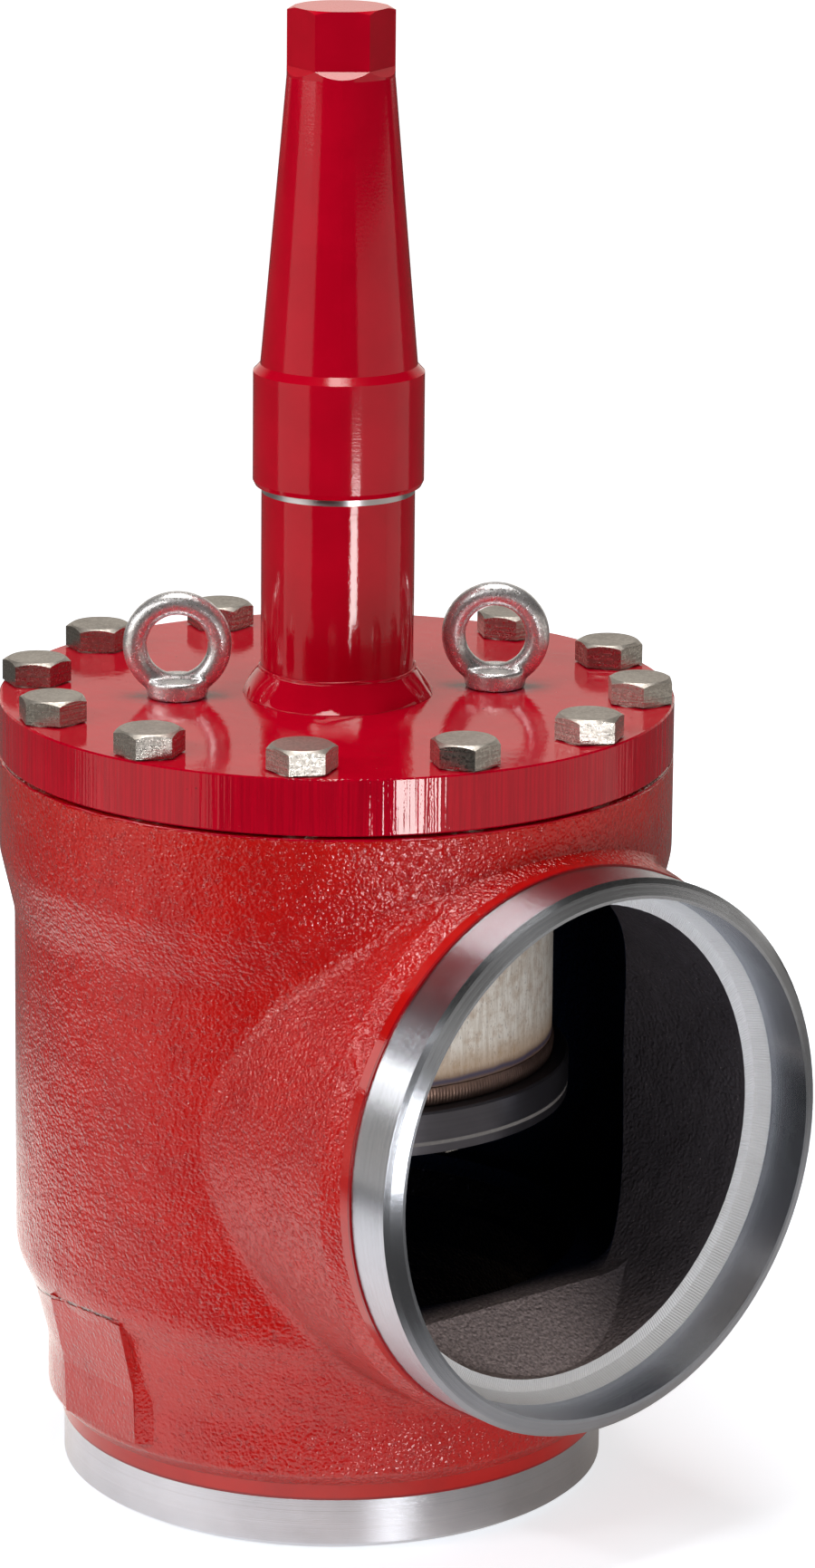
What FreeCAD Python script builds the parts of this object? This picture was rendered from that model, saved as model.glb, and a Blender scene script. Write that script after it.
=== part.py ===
import FreeCAD, Part
import math
import os
from FreeCAD import Vector

# Angle shut-off valve with butt-weld ends and a seal cap over its spindle. Millimetres and degrees.
# Z runs up the spindle, with zero on the inlet's end face. X runs out of the outlet.

# Weld ends, the same on both legs
pipe_od = 273.0
pipe_wall = 9.3
root_face = 1.6
bevel_length = 4.9
bevel_break = 2.0
bevel_break_width = 2.4
end_bore_depth = 25.0
end_cone_length = 8.0
end_cone_drop = 4.0
machined_length = 35.5
machined_step = 1.0

# Casting
branch_step = 4.5
branch_wall = 24.0
branch_taper = 11.0
barrel_step = 19.5
barrel_wall = 14.5
branch_root = 4.0
rim_step = 7.5
rim_height = 47.0
rim_taper = 32.0
rim_above_pipe = 21.5
rim_edge = 1.5
foot_step = 8.0
foot_rise = 7.0
foot_height = 26.0
shoulder_step = 8.0
shoulder_height = 34.0
shoulder_rise = 47.5
cast_round = 30.0
foot_round = 3.0
saddle_fillet = 12.0
flat_depth = 2.2
flat_width = 57.0
flat_draft = 9.0
flat_bottom = 47.0
flat_top = 110.0

# Seat
seat_lead = 1.5
seat_inner_lap = 4.0
seat_throat_step = 4.0
seat_throat_length = 24.0
seat_bottom = 99.0
seat_height = 11.0
seat_pocket_gap = 5.5
sill_step = 9.0
sill_round = 40.0
sill_flat = 60.0
sill_lean = 60.0
ramp_length = 40.0
ramp_dip = 2.0
chamber_round = 10.0

# Cover, gasket and bolts
gasket_thickness = 1.5
gasket_inset = 0.5
cover_thickness = 28.0
cover_edge = 0.8
bolt_count = 12
bolt_first = 15.0
bolt_to_edge = 17.0
bolt_d = 20.0
bolt_across_flats = 30.0
bolt_head = 12.5
bolt_washer = 0.8
bolt_grip = 34.0
bolt_hole_room = 3.0
bolt_clearance = 1.0
bolt_turns = [33.5, 54.1, 9.5, 1.6, 20.6, 15.6, 19.2, 16.5, 5.3, 31.3, 30.8, 5.4]
thread_fit = 0.05
mouth_wall = 13.0
mouth_height = 45.0
spigot_height = 12.0
spigot_fit = 0.5

# Lifting eyes
eye_circle_r = 80.0
eye_angle = 60.0
eye_turns = [48.0, 53.0]
eye_ring_r = 21.0
eye_section_r = 6.0
eye_collar_r = 15.2
eye_collar_height = 9.5
eye_centre = 26.5
eye_shank_r = 6.0
eye_shank = 20.0
eye_round = 1.2

# Bonnet neck
neck_od = 76.1
neck_wall = 6.3
neck_length = 102.2
neck_socket = 16.0
neck_weld_leg = 10.5
neck_weld_height = 14.7
head_height = 44.0
head_collar = 3.3
head_thread_step = 4.05
head_plug = 20.0
gland_r = 22.0
gland_across_flats = 46.0
gland_height = 12.0
gland_depth = 12.0
packing_height = 16.0

# Seal cap
cap_r = 42.4
cap_skirt = 56.9
cap_chamfer = 3.7
cap_lip = 2.5
cap_lip_width = 1.2
cap_height = 237.1
cap_cone_step = 3.5
cap_cone_top_r = 26.6
cap_bevel = 1.6
hexagon_across_flats = 46.0
hexagon_height = 29.2
hexagon_turn = -37.5
hexagon_runout = 4.6
cap_wall = 5.5
cap_tip = 43.4
cap_bore_point = 12.0
cap_fit = 0.3
cap_seal = 2.0
cap_seal_width = 3.2

# Spindle and plug, shown fully open
spindle_d = 32.0
spindle_fit = 0.05
spindle_tip_gap = 10.0
spindle_square = 22.0
spindle_square_length = 30.0
plug_lap = 1.0
plug_bottom = 194.5
plug_thickness = 21.0
plug_edge = 1.0
plug_hub_r = 34.0
plug_hub_height = 60.0
retainer_thickness = 4.3
retainer_inset = 0.4
retainer_width = 33.0
seal_thickness = 2.0
seal_edge = 0.4
seal_width = 12.0
seal_fit = 0.2
sleeve_inset = 8.5
sleeve_wall = 4.0
sleeve_weld = 9.5
sleeve_weld_bulge = 0.5
sleeve_top_gap = 6.0
retainer_bolt_count = 8
retainer_bolt_first = -6.0
retainer_bolt_to_edge = 19.0
retainer_bolt_d = 8.0
retainer_bolt_across_flats = 13.0
retainer_bolt_head = 5.5
retainer_bolt_depth = 11.0
seat_gap = 0.3

# Values that follow from the driving ones
pipe_r = pipe_od / 2
pipe_bore_r = pipe_r - pipe_wall
root_r = pipe_bore_r + root_face
cone_r = pipe_bore_r - end_cone_drop
cone_end = end_bore_depth + end_cone_length
break_r = pipe_r - bevel_break_width
bevel_break_depth = bevel_length - bevel_break
machined_r = pipe_r + machined_step
foot_r = pipe_r + foot_step
foot_bottom = machined_length + foot_rise
foot_top = foot_bottom + foot_height
barrel_bottom = foot_top + shoulder_rise
branch_r = pipe_r + branch_step
duct_r = branch_r - branch_wall
plug_r = duct_r + plug_lap
barrel_r = branch_r + barrel_step
inlet_length = barrel_r + branch_root + branch_taper + machined_length
outlet_length = inlet_length
rim_r = barrel_r + rim_step
body_top = inlet_length + pipe_r + rim_above_pipe
rim_bottom = body_top - rim_height
bolt_circle_r = rim_r - bolt_to_edge
mouth_r = bolt_circle_r - bolt_d / 2 - mouth_wall
chamber_r = barrel_r - barrel_wall
seat_outer_r = plug_r + seat_lead
seat_inner_r = plug_r - seat_inner_lap
seat_pocket_r = plug_r + seat_pocket_gap
seat_top = seat_bottom + seat_height
sill_top = seat_top + sill_step
cover_bottom = body_top + gasket_thickness
cover_top = cover_bottom + cover_thickness
spigot_bottom = cover_bottom - spigot_height
neck_r = neck_od / 2
neck_top = cover_top + neck_length
head_thread_r = neck_r - head_thread_step
head_top = neck_top + head_height
cap_bottom = neck_top + head_collar + seat_gap
cap_top = cap_bottom + cap_height
cap_bore_top = cap_top - cap_tip
cap_cone_base_r = cap_r - cap_cone_step
spindle_top = cap_bore_top - spindle_tip_gap
plug_top = plug_bottom + plug_thickness
disc_face = plug_bottom + retainer_thickness + seat_gap
seal_pocket = seal_thickness - seal_edge
sleeve_r = plug_r - sleeve_inset
retainer_bolt_r = plug_r - retainer_bolt_to_edge
over = 1.0

up = Vector(0, 0, 1)
outward = Vector(1, 0, 0)
centre = Vector(0, 0, 0)


def revolve(points, axis=up):
    """Closed profile of (radius, height) points turned about Z, or about X for the branch."""
    if axis == up:
        corners = [Vector(r, 0, h) for r, h in points]
    else:
        corners = [Vector(h, 0, r) for r, h in points]
    wire = Part.makePolygon(corners + corners[:1])
    return Part.Face(wire).revolve(centre, axis, 360)


def ring(outer, inner, bottom, top):
    return revolve([(inner, bottom), (outer, bottom), (outer, top), (inner, top)])


def disc(radius, bottom, top):
    return Part.makeCylinder(radius, top - bottom, Vector(0, 0, bottom))


def block(low, high):
    return Part.makeBox(high[0] - low[0], high[1] - low[1], high[2] - low[2], Vector(*low))


def hexagon(across_flats, height):
    """Closed hexagon wire with a flat facing +X."""
    corner_r = across_flats / math.sqrt(3)
    angles = [math.radians(30 + 60 * k) for k in range(7)]
    return Part.makePolygon([Vector(corner_r * math.cos(a), corner_r * math.sin(a), height) for a in angles])


def hexagon_prism(across_flats, bottom, top):
    return Part.Face(hexagon(across_flats, bottom)).extrude(Vector(0, 0, top - bottom))


def placed(shape, radius, angle, height=0.0, turn=0.0):
    """Copy of a shape turned about its own Z and set at a polar place about the valve axis."""
    copy = shape.copy()
    copy.rotate(centre, up, turn)
    way = math.radians(angle)
    copy.translate(Vector(radius * math.cos(way), radius * math.sin(way), height))
    return copy


def around(count, first):
    return [first + 360.0 * k / count for k in range(count)]


def is_circle(edge, radius, height):
    curve = edge.Curve
    return (curve.TypeId == "Part::GeomCircle" and abs(curve.Radius - radius) < 0.001
            and abs(curve.Center.z - height) < 0.001)


def round_circle(shape, radius, height, fillet):
    """Rounds the level circular edge of this radius at this height."""
    return shape.makeFillet(fillet, [e for e in shape.Edges if is_circle(e, radius, height)])


def crossing_edges(shape, radius):
    """Curved edges that lie on a cylinder of this radius about the outlet's axis, round circles left out."""
    found = []
    for edge in shape.Edges:
        mid = edge.valueAt((edge.FirstParameter + edge.LastParameter) / 2)
        distance = math.hypot(mid.y, mid.z - inlet_length)
        if edge.Curve.TypeId == "Part::GeomBSplineCurve" and abs(distance - radius) < 0.01 and mid.x > 0:
            found.append(edge)
    return found


def save(name, shape):
    solid = shape.Solids[0]
    solid.exportStep("parts/" + name + ".step")
    print(name, len(shape.Solids), round(solid.Volume), solid.isValid())


# Body casting
def barrel():
    """Outside of the upright leg: foot, shoulder, barrel and bolting rim, with cast roundings between."""
    neck = [(barrel_r, barrel_bottom), (barrel_r - shoulder_step, barrel_bottom - shoulder_height / 2),
            (foot_r, foot_top), (foot_r, foot_bottom)]
    rim = [(rim_r, rim_bottom), (barrel_r, rim_bottom - rim_taper)]
    end = [(0, 0), (root_r, 0), (break_r, bevel_break_depth), (pipe_r, bevel_length),
           (pipe_r, machined_length - foot_rise), (machined_r, machined_length - foot_rise),
           (machined_r, machined_length)]
    outside = revolve(end + neck[::-1] + rim[::-1] + [(rim_r, body_top), (0, body_top)])
    for radius, height in neck[:3] + rim:
        outside = round_circle(outside, radius, height, cast_round)
    outside = round_circle(outside, foot_r, foot_bottom, foot_round)
    return round_circle(outside, rim_r, body_top, rim_edge)


def branch():
    """Outside of the outlet leg, drawn in to its machined end."""
    band = outlet_length - machined_length
    outside = revolve([(0, 0), (branch_r, 0), (branch_r, band - branch_taper), (machined_r, band),
                       (machined_r, band + foot_rise), (pipe_r, band + foot_rise),
                       (pipe_r, outlet_length - bevel_length), (break_r, outlet_length - bevel_break_depth),
                       (root_r, outlet_length), (0, outlet_length)], outward)
    outside.translate(Vector(0, 0, inlet_length))
    return outside


def side_flats():
    """Cast flats on both sides of the foot, leaning out with the shoulder, their ends drafted."""
    low_y = foot_r + flat_depth
    high_y = barrel_r - shoulder_step / 2
    end = flat_width / 2 + flat_draft
    corners = [Vector(-end, 0, flat_bottom), Vector(-end, low_y, flat_bottom),
               Vector(-end, low_y + flat_depth / 2, flat_bottom + foot_height),
               Vector(-end, high_y, flat_top), Vector(-end, 0, flat_top)]
    flat = Part.Face(Part.makePolygon(corners + corners[:1])).extrude(Vector(2 * end, 0, 0))
    side = flat_width / 2
    drafted = [Vector(-end, 0, 0), Vector(-end, low_y - flat_draft, 0), Vector(-side, low_y, 0),
               Vector(-side, high_y, 0), Vector(side, high_y, 0), Vector(side, low_y, 0),
               Vector(end, low_y - flat_draft, 0), Vector(end, 0, 0)]
    flat = flat.common(Part.Face(Part.makePolygon(drafted + drafted[:1])).extrude(Vector(0, 0, flat_top)))
    return [flat, flat.mirror(centre, Vector(0, 1, 0))]


def inlet_void():
    throat_r = seat_inner_r - seat_throat_step
    return revolve([(0, -over), (pipe_bore_r, -over), (pipe_bore_r, end_bore_depth), (cone_r, cone_end),
                    (throat_r, seat_bottom - seat_throat_length), (throat_r, seat_bottom - seat_throat_step),
                    (seat_inner_r, seat_bottom), (seat_outer_r, seat_top),
                    (seat_pocket_r, seat_top + seat_throat_step), (seat_pocket_r, sill_top + over),
                    (0, sill_top + over)])


def chamber_void():
    """Wide chamber round the plug, drawn in to the mouth that the cover's spigot enters."""
    mouth_bottom = body_top - mouth_height
    slope = chamber_r - mouth_r
    void = revolve([(0, sill_top), (chamber_r, sill_top), (chamber_r, mouth_bottom - slope),
                    (mouth_r, mouth_bottom), (mouth_r, body_top + over), (0, body_top + over)])
    return round_circle(void, chamber_r, sill_top, chamber_round)


def outlet_void():
    """Straight bore, turned cone and cast duct of the outlet leg."""
    duct = revolve([(0, outlet_length + over), (pipe_bore_r, outlet_length + over),
                    (pipe_bore_r, outlet_length - end_bore_depth), (cone_r, outlet_length - cone_end),
                    (duct_r, outlet_length - cone_end), (duct_r, 0), (0, 0)], outward)
    duct.translate(Vector(0, 0, inlet_length))
    return duct


def outlet_ramp():
    """Cast floor that rises in the duct to the sill round the seat, rounded up into the duct's sides."""
    start = outlet_length - cone_end
    low = inlet_length - duct_r
    drop = sill_top - low + ramp_dip
    leans = [math.radians(lean) for lean in (0, sill_lean / 2, sill_lean)]
    right = [Vector(0, sill_flat + sill_round * math.sin(lean), sill_top + sill_round * (1 - math.cos(lean)))
             for lean in leans]
    left = [Vector(v.x, -v.y, v.z) for v in right]
    side = duct_r + over
    floor = low - drop
    rim = [right[2], Vector(0, side, right[2].z), Vector(0, side, floor), Vector(0, -side, floor),
           Vector(0, -side, left[2].z), left[2]]
    edges = [Part.Arc(*right).toShape(), Part.makePolygon(rim), Part.Arc(*left[::-1]).toShape(),
             Part.makeLine(left[0], right[0])]
    face = Part.Face(Part.Wire(Part.__sortEdges__([e for edge in edges for e in edge.Edges])))
    level = face.extrude(Vector(start - ramp_length, 0, 0))
    face.translate(Vector(start - ramp_length, 0, 0))
    return level.fuse(face.extrude(Vector(ramp_length, 0, -drop)))


def bolt_holes(radius, bottom, top):
    hole = disc(radius, bottom, top)
    return [placed(hole, bolt_circle_r, angle) for angle in around(bolt_count, bolt_first)]


def make_body():
    outside = barrel().fuse(branch())
    outside = outside.makeFillet(saddle_fillet, crossing_edges(outside, branch_r))
    for flat in side_flats():
        outside = outside.fuse(flat)
    inside = chamber_void().fuse(outlet_void().cut(outlet_ramp()))
    body = outside.cut(inside).cut(inlet_void())
    for hole in bolt_holes(bolt_d / 2 + thread_fit, body_top - bolt_grip, body_top + over):
        body = body.cut(hole)
    return body


# Cover, gasket and bolts
def make_cover():
    spigot_r = mouth_r - spigot_fit
    lead = 2 * cover_edge
    plate = revolve([(0, spigot_bottom), (spigot_r - lead, spigot_bottom), (spigot_r, spigot_bottom + lead),
                     (spigot_r, cover_bottom), (rim_r - cover_edge, cover_bottom),
                     (rim_r, cover_bottom + cover_edge), (rim_r, cover_top - cover_edge),
                     (rim_r - cover_edge, cover_top), (0, cover_top)])
    plate = plate.cut(disc(neck_r + thread_fit, cover_top - neck_socket, cover_top + over))
    plate = plate.cut(disc(spindle_d / 2 + spindle_fit, spigot_bottom - over, cover_top + over))
    for hole in bolt_holes(bolt_d / 2 + bolt_clearance, cover_bottom - over, cover_top + over):
        plate = plate.cut(hole)
    hole = disc(eye_shank_r + thread_fit, cover_top - eye_shank - over, cover_top + over)
    for angle in around(2, eye_angle):
        plate = plate.cut(placed(hole, eye_circle_r, angle))
    return plate


def make_gasket():
    return ring(bolt_circle_r - bolt_d / 2 - bolt_clearance, mouth_r + gasket_inset, body_top, cover_bottom)


def make_bolt():
    """Hexagon head bolt with its bearing face at zero and a 30 degree crown on the head."""
    corner_r = bolt_across_flats / math.sqrt(3)
    crown_r = bolt_across_flats * 0.47
    drop = (corner_r - crown_r) * math.tan(math.radians(30))
    crown = revolve([(0, 0), (corner_r, 0), (corner_r, bolt_head - drop), (crown_r, bolt_head),
                     (0, bolt_head)])
    head = hexagon_prism(bolt_across_flats, bolt_washer, bolt_head).common(crown)
    shank = cover_thickness + gasket_thickness + bolt_grip - bolt_hole_room
    return head.fuse(disc(crown_r, 0, bolt_washer)).fuse(disc(bolt_d / 2, -shank, 0))


def make_eye():
    """Forged lifting eye with its collar's face at zero and its ring in the XZ plane."""
    loop = Part.makeTorus(eye_ring_r, eye_section_r, Vector(0, 0, eye_centre), Vector(0, 1, 0))
    collar = disc(eye_collar_r, 0, eye_collar_height)
    for height in (0, eye_collar_height):
        collar = round_circle(collar, eye_collar_r, height, eye_round)
    return loop.fuse(collar).fuse(disc(eye_shank_r, -eye_shank, over))


# Bonnet neck
def make_neck_tube():
    return ring(neck_r, neck_r - neck_wall, cover_top - neck_socket, neck_top)


def make_neck_weld():
    """Hollow fillet weld round the neck's foot, its face an arc between the two toes."""
    inner = neck_r + thread_fit
    outer = neck_r + neck_weld_leg
    top = cover_top + neck_weld_height
    sag = Vector(inner + 0.4 * neck_weld_leg, 0, cover_top + 0.4 * neck_weld_height)
    face = Part.Arc(Vector(outer, 0, cover_top), sag, Vector(inner, 0, top)).toShape()
    corner = Vector(inner, 0, cover_top)
    foot = Part.makePolygon([Vector(inner, 0, top), corner, Vector(outer, 0, cover_top)])
    return Part.Face(Part.Wire(face.Edges + foot.Edges)).revolve(centre, up, 360)


def make_neck_head():
    """Bare steel head of the neck: plug in the tube, visible collar, thread land and stuffing box."""
    plug = neck_r - neck_wall - thread_fit
    bore = spindle_d / 2 + spindle_fit
    head = revolve([(bore, neck_top - head_plug), (plug, neck_top - head_plug), (plug, neck_top),
                    (neck_r, neck_top), (neck_r, neck_top + head_collar),
                    (head_thread_r, neck_top + head_collar), (head_thread_r, head_top - 2 * over),
                    (head_thread_r - 2 * over, head_top), (bore, head_top)])
    return head.cut(disc(gland_r, head_top - gland_depth - packing_height, head_top + over))


def make_gland():
    """Hexagon gland nut screwed into the neck's head over the packing."""
    nut = hexagon_prism(gland_across_flats, head_top, head_top + gland_height)
    bottom = head_top - gland_depth
    nut = nut.fuse(disc(gland_r - thread_fit, bottom, head_top))
    return nut.cut(disc(spindle_d / 2 + spindle_fit, bottom - over, head_top + gland_height + over))


def make_packing():
    top = head_top - gland_depth
    return ring(gland_r - thread_fit, spindle_d / 2 + spindle_fit, top - packing_height, top)


# Seal cap
def cap_outside():
    """Turned cap with a hexagon milled on its tip, the cutter's run-out as curved facets below."""
    cylinder_top = cap_bottom + cap_skirt
    flats_bottom = cap_top - hexagon_height
    turned = revolve([(0, cap_bottom), (cap_r - cap_lip_width, cap_bottom), (cap_r, cap_bottom + cap_lip),
                      (cap_r, cylinder_top), (cap_cone_base_r, cylinder_top + cap_chamfer),
                      (cap_cone_top_r, flats_bottom - hexagon_runout), (cap_cone_top_r, cap_top - cap_bevel),
                      (cap_cone_top_r - 2 * cap_bevel, cap_top), (0, cap_top)])
    prism = hexagon_prism(hexagon_across_flats, flats_bottom, cap_top + over)
    wide = hexagon_across_flats + 2 * hexagon_runout
    flare = Part.makeLoft([hexagon(wide, flats_bottom - hexagon_runout),
                           hexagon(hexagon_across_flats, flats_bottom)], True)
    below = disc(cap_r + over, cap_bottom - over, flats_bottom - hexagon_runout)
    return turned.common(below.fuse(flare).fuse(prism))


def cap_inside():
    """Hollow over the spindle, with a seal recess and a thread land for the neck's head."""
    bore = head_thread_r + cap_fit
    recess_r = bore + cap_seal_width
    return revolve([(0, cap_bottom - over), (recess_r, cap_bottom - over), (recess_r, cap_bottom + cap_seal),
                    (bore, cap_bottom + cap_seal), (bore, head_top + 3 * over),
                    (cap_cone_base_r - cap_wall, cap_bottom + cap_skirt + cap_chamfer),
                    (cap_cone_top_r - cap_wall, cap_bore_top), (0, cap_bore_top + cap_bore_point)])


def make_cap():
    cap = cap_outside().cut(cap_inside())
    cap.rotate(centre, up, hexagon_turn)
    return cap


def make_cap_seal():
    bottom = neck_top + head_collar
    return ring(head_thread_r + cap_seal_width, head_thread_r + thread_fit, bottom, bottom + cap_seal)


# Spindle and plug
def make_spindle():
    shoulder = spindle_top - spindle_square_length
    half = spindle_square / 2
    square = block((-half, -half, shoulder), (half, half, spindle_top))
    return disc(spindle_d / 2, plug_top, shoulder).fuse(square)


def retainer_holes():
    depth = retainer_thickness + retainer_bolt_depth
    hole = disc(retainer_bolt_d / 2 + thread_fit, plug_bottom - over, plug_bottom - over + depth)
    angles = around(retainer_bolt_count, retainer_bolt_first)
    return [placed(hole, retainer_bolt_r, angle) for angle in angles]


def make_plug_disc():
    """Disc with a rebate under its rim for the seal ring."""
    rebate_r = plug_r - seal_width
    body = revolve([(0, disc_face), (rebate_r, disc_face), (rebate_r, disc_face + seal_pocket),
                    (plug_r, disc_face + seal_pocket), (plug_r, plug_top - plug_edge),
                    (plug_r - plug_edge, plug_top), (0, plug_top)])
    for hole in retainer_holes():
        body = body.cut(hole)
    return body


def make_plug_seal():
    bottom = plug_bottom + retainer_thickness
    return ring(plug_r - seal_fit, plug_r - seal_width + seal_fit, bottom, disc_face + seal_pocket)


def make_plug_retainer():
    """Ring under the disc that the small bolts pull up against the seal."""
    outer = plug_r - retainer_inset
    body = ring(outer, outer - retainer_width, plug_bottom, plug_bottom + retainer_thickness)
    for hole in retainer_holes():
        body = body.cut(hole)
    return body


def make_plug_hub():
    return ring(plug_hub_r, spindle_d / 2 + thread_fit, plug_top, plug_top + plug_hub_height)


def make_sleeve():
    return ring(sleeve_r, sleeve_r - sleeve_wall, plug_top + sleeve_weld, spigot_bottom - sleeve_top_gap)


def make_sleeve_weld():
    inner = sleeve_r - sleeve_wall
    belly = sleeve_r + sleeve_weld_bulge
    return revolve([(inner, plug_top), (sleeve_r, plug_top), (belly, plug_top + sleeve_weld / 2),
                    (sleeve_r, plug_top + sleeve_weld), (inner, plug_top + sleeve_weld)])


def make_retainer_bolt():
    head = hexagon_prism(retainer_bolt_across_flats, -retainer_bolt_head, 0)
    return head.fuse(disc(retainer_bolt_d / 2, 0, retainer_bolt_depth))


os.makedirs("parts", exist_ok=True)
save("body", make_body())
save("cover", make_cover())
save("cover_gasket", make_gasket())
cover_bolt = make_bolt()
for number, angle in enumerate(around(bolt_count, bolt_first)):
    turn = bolt_turns[number % len(bolt_turns)]
    save("cover_bolt_%02d" % (number + 1), placed(cover_bolt, bolt_circle_r, angle, cover_top, turn))
lifting_eye = make_eye()
for side, angle, turn in zip(("right", "left"), around(2, eye_angle), eye_turns):
    save("lifting_eye_" + side, placed(lifting_eye, eye_circle_r, angle, cover_top, turn))
save("neck_tube", make_neck_tube())
save("neck_weld", make_neck_weld())
save("neck_head", make_neck_head())
save("gland_nut", make_gland())
save("packing_ring", make_packing())
save("cap", make_cap())
save("cap_seal", make_cap_seal())
save("spindle", make_spindle())
save("plug_disc", make_plug_disc())
save("plug_hub", make_plug_hub())
save("plug_seal", make_plug_seal())
save("plug_retainer", make_plug_retainer())
save("plug_sleeve", make_sleeve())
save("sleeve_weld", make_sleeve_weld())
retainer_bolt = make_retainer_bolt()
for number, angle in enumerate(around(retainer_bolt_count, retainer_bolt_first), 1):
    save("retainer_bolt_%d" % number, placed(retainer_bolt, retainer_bolt_r, angle, plug_bottom))
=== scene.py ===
import math

import bpy
import bmesh
import numpy as np
from mathutils import Matrix, Vector


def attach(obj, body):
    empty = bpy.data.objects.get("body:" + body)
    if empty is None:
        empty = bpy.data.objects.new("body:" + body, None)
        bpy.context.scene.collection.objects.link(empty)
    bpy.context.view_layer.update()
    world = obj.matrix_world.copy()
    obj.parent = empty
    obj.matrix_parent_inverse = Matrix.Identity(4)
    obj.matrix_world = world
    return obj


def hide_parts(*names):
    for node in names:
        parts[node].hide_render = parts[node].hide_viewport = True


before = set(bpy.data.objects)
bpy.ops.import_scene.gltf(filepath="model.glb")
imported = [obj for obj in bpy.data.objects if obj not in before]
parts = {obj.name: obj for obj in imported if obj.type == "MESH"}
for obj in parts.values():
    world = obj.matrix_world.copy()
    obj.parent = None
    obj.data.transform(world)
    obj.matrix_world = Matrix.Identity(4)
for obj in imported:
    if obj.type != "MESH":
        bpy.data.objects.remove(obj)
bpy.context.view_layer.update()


# Small helpers for the node trees

def feed(tree, value, socket):
    # a plain number or tuple goes on the socket, anything else is a link
    if isinstance(value, (int, float, tuple)):
        socket.default_value = value
    else:
        tree.links.new(value, socket)


def feedAll(tree, node, values):
    for name, value in values.items():
        feed(tree, value, node.inputs[name])


def calc(tree, operation, *values):
    node = tree.nodes.new("ShaderNodeMath")
    node.operation = operation
    for value, socket in zip(values, node.inputs):
        feed(tree, value, socket)
    return node.outputs[0]


def times(tree, first, second):
    return calc(tree, "MULTIPLY", first, second)


def plus(tree, first, second):
    return calc(tree, "ADD", first, second)


def minus(tree, first, second):
    return calc(tree, "SUBTRACT", first, second)


def opposite(tree, mask):
    # 1 where the mask is 0
    return minus(tree, 1.0, mask)


def below(tree, value, limit):
    return calc(tree, "LESS_THAN", value, limit)


def above(tree, value, limit):
    return calc(tree, "GREATER_THAN", value, limit)


def larger(tree, first, second):
    return calc(tree, "MAXIMUM", first, second)


def weighted(tree, *pairs):
    # sum of values, each times its share
    total = None
    for value, share in pairs:
        part = times(tree, value, share)
        total = part if total is None else plus(tree, total, part)
    return total


def vectorCalc(tree, operation, *values):
    node = tree.nodes.new("ShaderNodeVectorMath")
    node.operation = operation
    for value, socket in zip(values, node.inputs):
        feed(tree, value, socket)
    return node.outputs["Value" if operation in ("DOT_PRODUCT", "LENGTH", "DISTANCE") else "Vector"]


def fade(tree, value, low, high, lowOut=0.0, highOut=1.0):
    # smooth step from low to high
    node = tree.nodes.new("ShaderNodeMapRange")
    node.interpolation_type = "SMOOTHSTEP"
    feedAll(tree, node, {"Value": value, "From Min": low, "From Max": high,
                         "To Min": lowOut, "To Max": highOut})
    return node.outputs["Result"]


def between(tree, value, low, high, soft):
    # 1 inside the span, 0 outside, with soft edges
    rise = fade(tree, value, low - soft, low + soft)
    fall = fade(tree, value, high - soft, high + soft, 1.0, 0.0)
    return times(tree, rise, fall)


def blendColor(tree, factor, first, second):
    node = tree.nodes.new("ShaderNodeMix")
    node.data_type = "RGBA"
    for value, index in ((factor, 0), (first, 6), (second, 7)):
        feed(tree, value, node.inputs[index])
    return node.outputs[2]


def blendValue(tree, factor, first, second):
    node = tree.nodes.new("ShaderNodeMix")
    for value, index in ((factor, 0), (first, 2), (second, 3)):
        feed(tree, value, node.inputs[index])
    return node.outputs[0]


def blendVector(tree, factor, first, second):
    node = tree.nodes.new("ShaderNodeMix")
    node.data_type = "VECTOR"
    for value, index in ((factor, 0), (first, 4), (second, 5)):
        feed(tree, value, node.inputs[index])
    return node.outputs[1]


def noise(tree, place, scale, detail=2.0, roughness=0.5, distortion=0.0):
    node = tree.nodes.new("ShaderNodeTexNoise")
    feedAll(tree, node, {"Vector": place, "Scale": scale, "Detail": detail,
                         "Roughness": roughness, "Distortion": distortion})
    return node.outputs[0]


def wander(tree, place, size, scale, detail=2.0, roughness=0.5):
    # noise about zero, as wide as size
    return times(tree, minus(tree, noise(tree, place, scale, detail, roughness), 0.5), size)


def cells(tree, place, scale):
    # distance to the nearest of many scattered points
    node = tree.nodes.new("ShaderNodeTexVoronoi")
    feedAll(tree, node, {"Vector": place, "Scale": scale})
    return node.outputs["Distance"]


def splitPlace(tree, place):
    node = tree.nodes.new("ShaderNodeSeparateXYZ")
    tree.links.new(place, node.inputs[0])
    return node.outputs[0], node.outputs[1], node.outputs[2]


def joinPlace(tree, x, y, z):
    node = tree.nodes.new("ShaderNodeCombineXYZ")
    for value, socket in zip((x, y, z), node.inputs):
        feed(tree, value, socket)
    return node.outputs[0]


def radius(tree, first, second):
    # distance from an axis, from the two coordinates across it
    return calc(tree, "SQRT", plus(tree, times(tree, first, first), times(tree, second, second)))


def faceNormal(tree):
    return tree.nodes.new("ShaderNodeNewGeometry").outputs["Normal"]


def bump(tree, height, depth, over=None):
    node = tree.nodes.new("ShaderNodeBump")
    feedAll(tree, node, {"Strength": 1.0, "Distance": depth, "Height": height})
    if over is not None:
        tree.links.new(over, node.inputs["Normal"])
    return node.outputs[0]


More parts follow.
